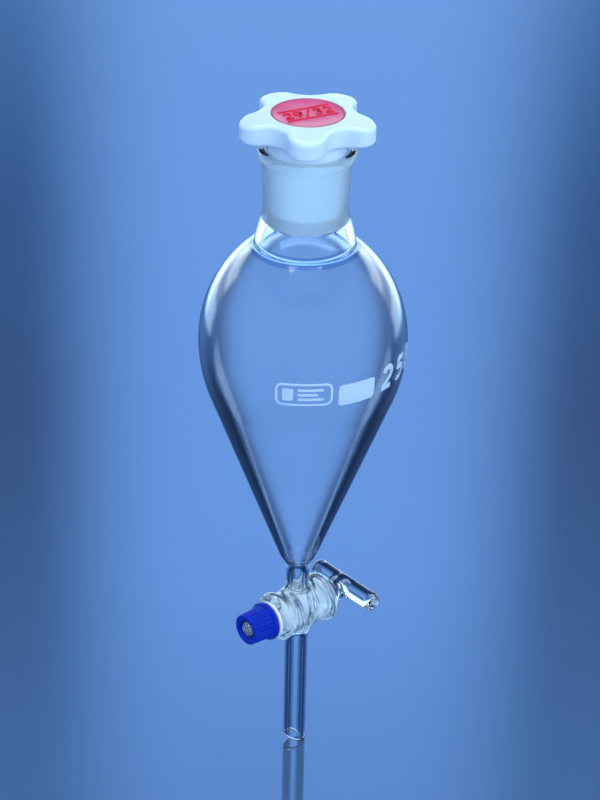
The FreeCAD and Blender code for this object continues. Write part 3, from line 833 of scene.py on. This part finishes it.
def make_disc_marks():
    """The joint's size between two bars, raised on the disc."""
    c, s = math.cos(DISC_MARK_TURN), math.sin(DISC_MARK_TURN)

    def place(u, v, lift):
        return (u * c - v * s, u * s + v * c, DISC_FACE_Z + lift)

    parts = []
    for points, width in numerals("29/32", height=5.4, pitch=4.1, width=0.95, slant=0.1):
        parts.append(stroke(points, width, place, *DISC_MARK_SPAN))
    for side in (-1, 1):
        bar = straight((-10.2, side * 4.3), (10.2, side * 4.3))
        parts.append(stroke(bar, 0.7, place, *DISC_BAR_SPAN))
    return joined("disc_marks", parts)


# ---------------------------------------------------------------- materials
GLASS_IOR = 1.474


def shader(mat):
    return mat.node_tree.nodes["Principled BSDF"]


def principled(name, colour, roughness, **sockets):
    mat = bpy.data.materials.new(name)
    mat.use_nodes = True
    inputs = shader(mat).inputs
    inputs["Base Color"].default_value = (*colour, 1)
    inputs["Roughness"].default_value = roughness
    for key, value in sockets.items():
        inputs[key.replace("_", " ")].default_value = value
    return mat


def clear(name, roughness=0.0, share=1.0):
    return principled(name, (1.0, 1.0, 1.0), roughness, Transmission_Weight=share, IOR=GLASS_IOR)


def noise(mat, scale, detail=3.0, stretch=(1, 1, 1), distortion=0.0):
    """A noise texture fixed to the piece, its scale in grains per metre."""
    tree = mat.node_tree
    place = tree.nodes.new("ShaderNodeTexCoord")
    mapping = tree.nodes.new("ShaderNodeMapping")
    mapping.inputs["Scale"].default_value = stretch
    texture = tree.nodes.new("ShaderNodeTexNoise")
    texture.inputs["Scale"].default_value = scale
    texture.inputs["Detail"].default_value = detail
    texture.inputs["Distortion"].default_value = distortion
    tree.links.new(place.outputs["Object"], mapping.inputs["Vector"])
    tree.links.new(mapping.outputs["Vector"], texture.inputs["Vector"])
    return texture.outputs["Fac"]


def stops_of(tree, value, stops):
    """The colours at the stops, blended by a value."""
    node = tree.nodes.new("ShaderNodeValToRGB")
    elements = node.color_ramp.elements
    while len(elements) < len(stops):
        elements.new(0.5)
    for element, (position, colour) in zip(elements, stops):
        element.position = position
        element.color = (*colour, 1)
    tree.links.new(value, node.inputs["Fac"])
    return node.outputs["Color"]


def smooth_share(tree, value, start, end):
    """A share that rises from 0 to 1 as a value goes from start to end."""
    node = tree.nodes.new("ShaderNodeMapRange")
    node.interpolation_type = "SMOOTHSTEP"
    node.inputs["From Min"].default_value = start
    node.inputs["From Max"].default_value = end
    tree.links.new(value, node.inputs["Value"])
    return node.outputs["Result"]


def mixed(tree, share, a, b, mode="MIX"):
    """Mixes two colours by a share. Each of the three is a socket or a plain value."""
    node = tree.nodes.new("ShaderNodeMix")
    node.data_type = "RGBA"
    node.blend_type = mode
    for key, value in (("Factor", share), ("A", a), ("B", b)):
        if isinstance(value, bpy.types.NodeSocket):
            tree.links.new(value, node.inputs[key])
        else:
            node.inputs[key].default_value = value
    return node.outputs["Result"]


def bump(mat, value, depth, strength=1.0):
    """Raises the surface where value is high, on top of any bump before it. depth is in metres."""
    tree = mat.node_tree
    normal = shader(mat).inputs["Normal"]
    node = tree.nodes.new("ShaderNodeBump")
    node.inputs["Strength"].default_value = strength
    node.inputs["Distance"].default_value = depth
    tree.links.new(value, node.inputs["Height"])
    if normal.is_linked:
        tree.links.new(normal.links[0].from_socket, node.inputs["Normal"])
    tree.links.new(node.outputs["Normal"], normal)


def colour_by(mat, value, stops):
    tree = mat.node_tree
    tree.links.new(stops_of(tree, value, stops), shader(mat).inputs["Base Color"])


def roughness_by(mat, value, low, high):
    tree = mat.node_tree
    node = tree.nodes.new("ShaderNodeMapRange")
    node.inputs["To Min"].default_value = low
    node.inputs["To Max"].default_value = high
    tree.links.new(value, node.inputs["Value"])
    tree.links.new(node.outputs["Result"], shader(mat).inputs["Roughness"])


def with_painted_edge_shade(mat, stops, source=None, fade=(0, 1)):
    """Paints shade on clear glass where it is seen edge-on: dark edges that stand in for the dark
    surroundings seen through it.

    fade is where that starts and where it is full, by the Z of a source: a height or a slope."""
    tree = mat.node_tree
    facing = tree.nodes.new("ShaderNodeLayerWeight")
    facing.inputs["Blend"].default_value = 0.5
    painted_shade = stops_of(tree, facing.outputs["Facing"], stops)
    if source:
        geometry = tree.nodes.new("ShaderNodeNewGeometry")
        split = tree.nodes.new("ShaderNodeSeparateXYZ")
        tree.links.new(geometry.outputs[source], split.inputs[0])
        painted_shade = mixed(tree, smooth_share(tree, split.outputs["Z"], *fade), (1, 1, 1, 1), painted_shade)
    tree.links.new(painted_shade, shader(mat).inputs["Base Color"])
    return mat


def shaded_in_streaks(mat, value, stops):
    """Multiplies the material's colour by stops blended by a value, which paints light and shade in
    streaks.
    """
    tree = mat.node_tree
    base = shader(mat).inputs["Base Color"]
    streaks = stops_of(tree, value, stops)
    tree.links.new(mixed(tree, 1.0, base.links[0].from_socket, streaks, "MULTIPLY"), base)


def grained(name, roughness, colours, grain, relief, gloss=None, top=0.7, **sockets):
    """A surface with wandering colour, a fine relief and, with gloss, uneven roughness.

    grain and the first of relief are a noise's scale and detail, then comes the relief's depth and
    strength. gloss is a noise's scale and the lowest and highest roughness."""
    mat = principled(name, colours[0], roughness, **sockets)
    colour_by(mat, noise(mat, *grain), list(zip((0.3, top), colours)))
    bump(mat, noise(mat, *relief[0]), *relief[1:])
    if gloss:
        roughness_by(mat, noise(mat, gloss[0], 2.0), *gloss[1:])
    return mat


# painted shade on clear glass, by how far it is turned away, 0 facing and 1 edge-on
CONE_EDGE_SHADE = [
    (0.0, (1.0, 1.0, 1.0)),
    (0.50, (0.98, 0.99, 1.0)),
    (0.56, (0.92, 0.96, 1.0)),
    (0.585, (0.10, 0.18, 0.28)),
    (0.64, (0.003, 0.010, 0.030)),
    (0.88, (0.002, 0.008, 0.026)),
    (0.95, (0.08, 0.17, 0.30)),
    (1.0, (0.40, 0.56, 0.74)),
]
TUBE_EDGE_SHADE = [
    (0.0, (1.0, 1.0, 1.0)),
    (0.22, (0.94, 0.97, 0.99)),
    (0.33, (0.62, 0.73, 0.84)),
    (0.38, (0.02, 0.05, 0.11)),
    (0.48, (0.003, 0.012, 0.038)),
    (0.56, (0.12, 0.24, 0.40)),
    (0.64, (0.60, 0.75, 0.90)),
    (1.0, (0.9, 0.95, 1.0)),
]
# the key and the barrel are thick glass; their painted shade is a dark band, and clear again at the very
# edge
KEY_EDGE_SHADE = [
    (0.0, (1.0, 1.0, 1.0)),
    (0.24, (0.96, 0.98, 1.0)),
    (0.27, (0.40, 0.52, 0.65)),
    (0.29, (0.004, 0.014, 0.038)),
    (0.57, (0.003, 0.012, 0.035)),
    (0.64, (0.20, 0.33, 0.5)),
    (0.72, (0.9, 0.95, 1.0)),
    (1.0, (1.0, 1.0, 1.0)),
]
BARREL_EDGE_SHADE = [
    (0.0, (1.0, 1.0, 1.0)),
    (0.27, (0.96, 0.98, 1.0)),
    (0.33, (0.30, 0.42, 0.55)),
    (0.37, (0.006, 0.018, 0.045)),
    (0.55, (0.003, 0.012, 0.035)),
    (0.62, (0.20, 0.33, 0.5)),
    (0.70, (0.9, 0.95, 1.0)),
    (1.0, (1.0, 1.0, 1.0)),
]
# painted light and shade in streaks on the barrel: pale cyan bands and a narrow dark one, standing in
# for its refracted highlights and dark patches
BARREL_SHADE_STREAKS = [
    (0.45, (0.76, 0.95, 1.0)),
    (0.52, (0.58, 0.78, 0.93)),
    (0.56, (0.03, 0.08, 0.15)),
    (0.62, (0.74, 0.93, 1.0)),
]


def blown_glass():
    """Clear wall of the bowl and neck, faintly wavy, with painted shade darkening its edges below the
    shoulder.
    """
    mat = with_painted_edge_shade(clear("funnel_glass"), CONE_EDGE_SHADE, "Position", (0.203, 0.165))
    bump(mat, noise(mat, 26, 1.0), 0.0004, 0.25)
    return mat


def tube_glass():
    # the stem's clear glass with painted shade, dark where it is seen edge-on
    mat = with_painted_edge_shade(clear("stem_glass"), TUBE_EDGE_SHADE)
    bump(mat, noise(mat, 60, 1.0), 0.0002, 0.25)
    return mat


def pressed_glass():
    """Solid glass of the key, with painted shade darkening its edges where it faces up."""
    mat = with_painted_edge_shade(clear("key_glass"), KEY_EDGE_SHADE, "Normal", (0.34, 0.52))
    bump(mat, noise(mat, 160, 2.0), 0.0002, 0.3)
    return mat


def hot_worked_glass():
    """Thick glass of the barrel, uneven from the flame, with painted light and shade in streaks and
    painted shade darkening its edges where it faces up.
    """
    mat = with_painted_edge_shade(clear("worked_glass", 0.02, 0.68), BARREL_EDGE_SHADE, "Normal", (0.6, 0.9))
    shaded_in_streaks(mat, noise(mat, 260, 3.0, (1, 0.2, 0.2), 1.2), BARREL_SHADE_STREAKS)
    bump(mat, noise(mat, 620, 3.0, (1, 0.16, 0.16), 0.9), 0.0011)
    bump(mat, noise(mat, 150, 2.0), 0.0014, 0.6)
    return mat


def frosted_glass():
    """The socket's coarsely ground zone, its white tinted pale cyan: painted blue light."""
    mat = principled("ground_glass", (0.60, 0.86, 1.0), 0.30, Transmission_Weight=0.52, IOR=GLASS_IOR)
    bump(mat, noise(mat, 5200, 2.0), 0.00005, 0.5)
    roughness_by(mat, noise(mat, 900, 2.0), 0.24, 0.38)
    return mat


def lapped_glass():
    """The finely ground taper of the key and its barrel."""
    mat = principled("lapped_glass", (0.93, 0.98, 1.0), 0.14, Transmission_Weight=0.95, IOR=GLASS_IOR)
    bump(mat, noise(mat, 1500, 2.0, (1, 0.3, 0.3)), 0.00008, 0.5)
    return mat


def sealed_glass():
    """The ring where the neck is sealed to the bowl, its clear glass tinted dark blue: painted blue
    light and shade.
    """
    return grained(
        "seal_glass", 0.0, [(0.26, 0.43, 0.72), (0.33, 0.50, 0.78)], (90, 2.0),
        relief=((120, 2.0), 0.0003, 0.4), Transmission_Weight=1.0, IOR=GLASS_IOR)


def polyethylene():
    """Milky plastic of the stopper, painted pale blue and a little darker, which stands in for the blue
    light on it.
    """
    return grained(
        "polyethylene", 0.34, [(0.54, 0.735, 0.94), (0.60, 0.78, 0.97)], (60, 3.0),
        relief=((1400, 3.0), 0.00006, 0.35), gloss=(500, 0.30, 0.42),
        IOR=1.51, Subsurface_Weight=0.8, Subsurface_Radius=(0.007, 0.009, 0.010))


# red plastic of the disc, with blue mixed into its red: a painted reflection of the blue sky
def red_plastic():
    return grained(
        "red_plastic", 0.22, [(0.55, 0.065, 0.18), (0.64, 0.095, 0.24)], (240, 3.0),
        relief=((1500, 3.0), 0.00004, 0.4), gloss=(700, 0.26, 0.40))


def red_lip():
    return grained(
        "red_rim", 0.3, [(0.38, 0.02, 0.09), (0.46, 0.03, 0.12)], (500, 2.0),
        relief=((1500, 3.0), 0.00004, 0.4))


def red_ink():
    return grained(
        "red_ink", 0.45, [(0.60, 0.008, 0.022), (0.74, 0.014, 0.035)], (600, 3.0),
        relief=((2000, 2.0), 0.00003, 0.4), Specular_IOR_Level=0.08)


def blue_plastic():
    return grained(
        "blue_plastic", 0.3, [(0.0, 0.018, 0.34), (0.001, 0.026, 0.44)], (300, 3.0),
        relief=((1700, 3.0), 0.00005, 0.4), gloss=(800, 0.24, 0.40), Specular_IOR_Level=0.15)


def ptfe():
    return grained(
        "ptfe", 0.4, [(0.84, 0.86, 0.88), (0.92, 0.93, 0.94)], (300, 2.0),
        relief=((1500, 2.0), 0.00004, 0.4))


def ring_rubber():
    return grained(
        "ring_rubber", 0.5, [(0.60, 0.60, 0.58), (0.72, 0.72, 0.70)], (500, 2.0),
        relief=((1800, 2.0), 0.00005, 0.5))


def enamel():
    """Fired white print of the bowl's marks, painted blue and darker, which stands in for the blue light
    on it.
    """
    return grained(
        "enamel", 0.5, [(0.41, 0.61, 0.88), (0.49, 0.68, 0.92)], (900, 3.0),
        relief=((2600, 2.0), 0.00004, 0.5), top=0.6)


# ---------------------------------------------------------------- pieces on their bodies
def dress(obj, body, nodes, slot, *materials):
    for mat in materials:
        obj.data.materials.append(mat)
    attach(obj, body)
    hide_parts(*nodes)


def off_taper(x, y, z):
    """How far a point lies outside the taper that the key turns in."""
    return np.hypot(y, z - KEY_Z) - key_r(x)


# slots on the funnel: 1 ground socket, 2 worked barrel, 3 stem, 4 lapped bore, 5 neck seal
FUNNEL_SLOTS = {
    5: lambda x, y, z: np.abs(z - NECK_SEAL_Z) < SEAL_HALF,
    3: lambda x, y, z: (z < FOOT_TURN[1] - 1.5) & (np.hypot(x, y) < FOOT_TURN[0] + 2),
    2: lambda x, y, z: (off_taper(x, y, z) > SKIN) & (np.abs(z - KEY_Z) < WORKED_HALF)
    & ((np.hypot(x, y) > WORKED_ARM_R) | (np.abs(z - KEY_Z) < LAPPED_HALF)),
    1: lambda x, y, z: (z > SOCKET_FOOT_Z) & (np.hypot(x, y) < SOCKET_MOUTH_R + 1.6)
    & ((z > RIM_Z - SKIN) | (np.hypot(x, y) < SOCKET_MOUTH_R + 0.1)),
    4: lambda x, y, z: (off_taper(x, y, z) < SKIN) & (np.abs(z - KEY_Z) < LAPPED_HALF)
    & (x > BARREL_LOW[0] + SKIN) & (x < BARREL_HIGH[0] - SKIN),
}
KEY_SLOTS = {
    1: lambda x, y, z: (x > BARREL_LOW[0] + 0.2) & (x < BARREL_HIGH[0] + 0.5)
    & (off_taper(x, y, z) > -SKIN / 2),
}
DISC_SLOTS = {1: lambda x, y, z: np.hypot(x, y) > DISC_RIM_R}

lapped = lapped_glass()
funnel = make_glass_funnel()
dress(funnel, "glass", ("neck_socket", "bowl", "stopcock_barrel", "drip_stem"), "clear_glass",
      blown_glass(), frosted_glass(), hot_worked_glass(), tube_glass(), lapped, sealed_glass())
slot_faces(funnel, FUNNEL_SLOTS)
key = make_stopcock_key()
dress(key, "key", ("key_plug", "key_handle"), "ground_glass", pressed_glass(), lapped)
slot_faces(key, KEY_SLOTS)
dress(make_stopper(), "stopper", ("stopper_body",), "milky_polyethylene", polyethylene())
disc = make_disc()
dress(disc, "stopper", ("stopper_disc",), "red_insert", red_plastic(), red_lip())
slot_faces(disc, DISC_SLOTS)
dress(make_disc_marks(), "stopper", (), "red_insert", red_ink())
dress(make_bowl_marks(), "glass", (), "clear_glass", enamel())
dress(make_washer(), "washers", ("thrust_washer",), "white_ptfe", ptfe())
dress(make_ring(), "washers", ("seal_ring",), "seal_rubber", ring_rubber())
dress(make_nut(), "nut", ("retaining_nut",), "blue_nut", blue_plastic())


# ---------------------------------------------------------------- stage, in metres
CAMERA_TURN = math.radians(-41)
CAMERA_AWAY = 0.9
CAMERA_HEIGHT = 0.667
CAMERA_PITCH = math.radians(29.24)
CAMERA_ROLL = math.radians(1.31)
CAMERA_LENS = 118.4


def make_camera():
    data = bpy.data.cameras.new("camera")
    data.lens = CAMERA_LENS
    data.sensor_width = 36
    data.shift_x = -0.0019
    obj = bpy.data.objects.new("camera", data)
    bpy.context.scene.collection.objects.link(obj)
    place = (CAMERA_AWAY * math.sin(CAMERA_TURN), -CAMERA_AWAY * math.cos(CAMERA_TURN), CAMERA_HEIGHT)
    obj.matrix_world = (
        Matrix.Translation(place)
        @ Matrix.Rotation(CAMERA_TURN, 4, "Z")
        @ Matrix.Rotation(math.pi / 2 - CAMERA_PITCH, 4, "X")
        @ Matrix.Rotation(CAMERA_ROLL, 4, "Z")
    )
    bpy.context.scene.camera = obj


def make_floor():
    """A smooth pale blue sheet that mirrors softly, a hair under the stem's tip."""
    mesh = bpy.data.meshes.new("floor")
    half, level = 8.0, -0.0004
    corners = [(x * half, y * half, level) for x, y in ((-1, -1), (1, -1), (1, 1), (-1, 1))]
    mesh.from_pydata(corners, [], [(0, 1, 2, 3)])
    obj = bpy.data.objects.new("floor", mesh)
    bpy.context.scene.collection.objects.link(obj)
    obj.data.materials.append(principled("floor", (0.30, 0.50, 0.84), 0.06, Metallic=0.85))


def area_light(name, place, target, side, power):
    data = bpy.data.lights.new(name, "AREA")
    data.shape = "RECTANGLE"
    data.size = data.size_y = side
    data.energy = power
    obj = bpy.data.objects.new(name, data)
    bpy.context.scene.collection.objects.link(obj)
    direction = Vector(target) - Vector(place)
    obj.location = place
    obj.rotation_euler = direction.to_track_quat("-Z", "Y").to_euler()
    return obj


def make_lights():
    """A softbox above, and three fills that light the plastics but leave no patches in the glass."""
    area_light("top_softbox", (0.1, 0.15, 1.5), (0, 0, 0.1), 0.9, 10)
    fills = [
        area_light("front_fill", (-0.35, -1.2, 0.75), (0, 0, 0.18), 1.2, 15),
        area_light("left_fill", (-0.95, 0.35, 0.45), (0, 0, 0.22), 0.8, 3),
        area_light("right_fill", (0.75, -0.75, 0.45), (0, 0, 0.22), 0.8, 2.5),
    ]
    for lamp in fills:
        lamp.visible_glossy = False
        lamp.visible_transmission = False


# sky colours by the sine of the height above the horizon
SKYLINE = [
    (0.0, (0.6, 0.8, 1.1)),
    (0.07, (0.8, 1.0, 1.2)),
    (0.11, (2.0, 2.4, 2.6)),
    (0.28, (1.9, 2.3, 2.5)),
]
OVERHEAD = [(0.72, (0.07, 0.15, 0.30)), (0.90, (0.07, 0.15, 0.30)), (1.0, (0.45, 0.62, 0.95))]
# straight behind the object
BACKDROP = SKYLINE + [
    (0.33, (0.38, 0.58, 0.89)),
    (0.54, (0.33, 0.52, 0.82)),
    (0.62, (0.22, 0.37, 0.60)),
] + OVERHEAD
# dark flags at the backdrop's two edges
FLAGS = SKYLINE + [
    (0.33, (0.13, 0.25, 0.44)),
    (0.42, (0.01, 0.08, 0.19)),
    (0.49, (0.00, 0.03, 0.11)),
    (0.54, (0.01, 0.07, 0.17)),
    (0.60, (0.04, 0.13, 0.25)),
] + OVERHEAD
# further to the sides, and the rest, which is on the camera's side
BESIDE = SKYLINE + [(0.33, (0.12, 0.25, 0.45)), (0.62, (0.04, 0.09, 0.20))] + OVERHEAD
NEAR_SIDE = [(0.0, (0.25, 0.41, 0.68)), (0.62, (0.21, 0.36, 0.64))] + OVERHEAD
# where each gives way to the next, by the cosine of the turn from straight behind the object
BACKDROP_EDGE = math.cos(math.radians(7.0)), math.cos(math.radians(2.2))
FLAG_EDGE = math.cos(math.radians(14)), math.cos(math.radians(9))
BESIDE_SHARE = [(0.47, (0, 0, 0)), (0.54, (1, 1, 1))]


def make_world():
    """A blue sky with a white skyline behind the object, brightest straight behind it."""
    world = bpy.data.worlds.new("studio")
    bpy.context.scene.world = world
    world.use_nodes = True
    tree = world.node_tree
    place = tree.nodes.new("ShaderNodeTexCoord")
    split = tree.nodes.new("ShaderNodeSeparateXYZ")
    tree.links.new(place.outputs["Generated"], split.inputs[0])
    height = tree.nodes.new("ShaderNodeMath")
    height.operation = "MAXIMUM"
    height.inputs[1].default_value = 0.0
    tree.links.new(split.outputs["Z"], height.inputs[0])
    level = tree.nodes.new("ShaderNodeVectorMath")
    level.operation = "MULTIPLY"
    level.inputs[1].default_value = (1, 1, 0)
    tree.links.new(place.outputs["Generated"], level.inputs[0])
    unit = tree.nodes.new("ShaderNodeVectorMath")
    unit.operation = "NORMALIZE"
    tree.links.new(level.outputs["Vector"], unit.inputs[0])
    along = tree.nodes.new("ShaderNodeVectorMath")
    along.operation = "DOT_PRODUCT"
    along.inputs[1].default_value = (-math.sin(CAMERA_TURN), math.cos(CAMERA_TURN), 0)
    tree.links.new(unit.outputs["Vector"], along.inputs[0])
    turn = along.outputs["Value"]

    def sky(stops):
        return stops_of(tree, height.outputs["Value"], stops)

    colour = mixed(tree, stops_of(tree, turn, BESIDE_SHARE), sky(NEAR_SIDE), sky(BESIDE))
    for stops, edge in ((FLAGS, FLAG_EDGE), (BACKDROP, BACKDROP_EDGE)):
        colour = mixed(tree, smooth_share(tree, turn, *edge), colour, sky(stops))
    tree.links.new(colour, tree.nodes["Background"].inputs["Color"])


make_camera()
make_floor()
make_lights()
make_world()
bpy.context.scene.view_settings.view_transform = "Standard"
# light crosses many glass walls, and clear glass casts no dark shadow
bpy.context.scene.cycles.max_bounces = 24
bpy.context.scene.cycles.transmission_bounces = 24
for piece in (funnel, key):
    piece.visible_shadow = False
